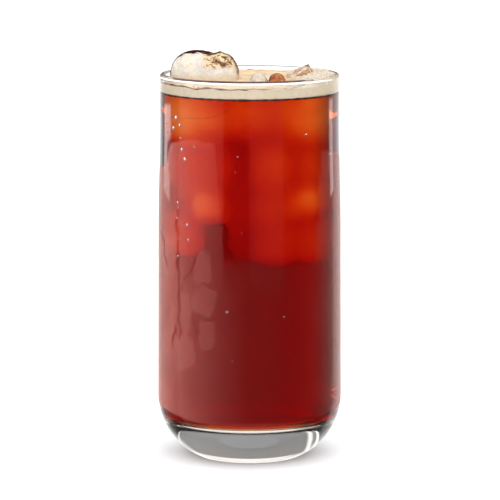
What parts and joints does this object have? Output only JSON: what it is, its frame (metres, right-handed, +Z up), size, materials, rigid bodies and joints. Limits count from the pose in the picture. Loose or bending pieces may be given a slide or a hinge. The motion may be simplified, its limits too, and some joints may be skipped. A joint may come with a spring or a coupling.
{
  "type": "iced tea",
  "caption": "Tall round-bottomed tumbler filled with dark red iced tea, under a layer of foam with ice standing out of it at the rim.",
  "frame": {"origin": "middle of the flat foot, on the surface that the glass stands on", "axes": "+Z up along the glass, -Y towards the front, +X to the right as seen from the front"},
  "size_m": [0.0702, 0.0702, 0.1547],
  "materials": {
    "glass": "clear polished soda-lime glass, 1.9 mm wall and a thick base",
    "tea": "clear dark red tea",
    "foam": "fine beige froth with small bubbles",
    "ice": "cloudy ice with wet clear edges stained brown by the tea"
  },
  "bodies": {
    "root": {"glass": "glass", "tea": "tea", "foam": "foam", "ice_chunk": "ice", "ice_bump": "ice", "ice_lump": "ice", "ice_shard": "ice"}
  },
  "joints": []
}
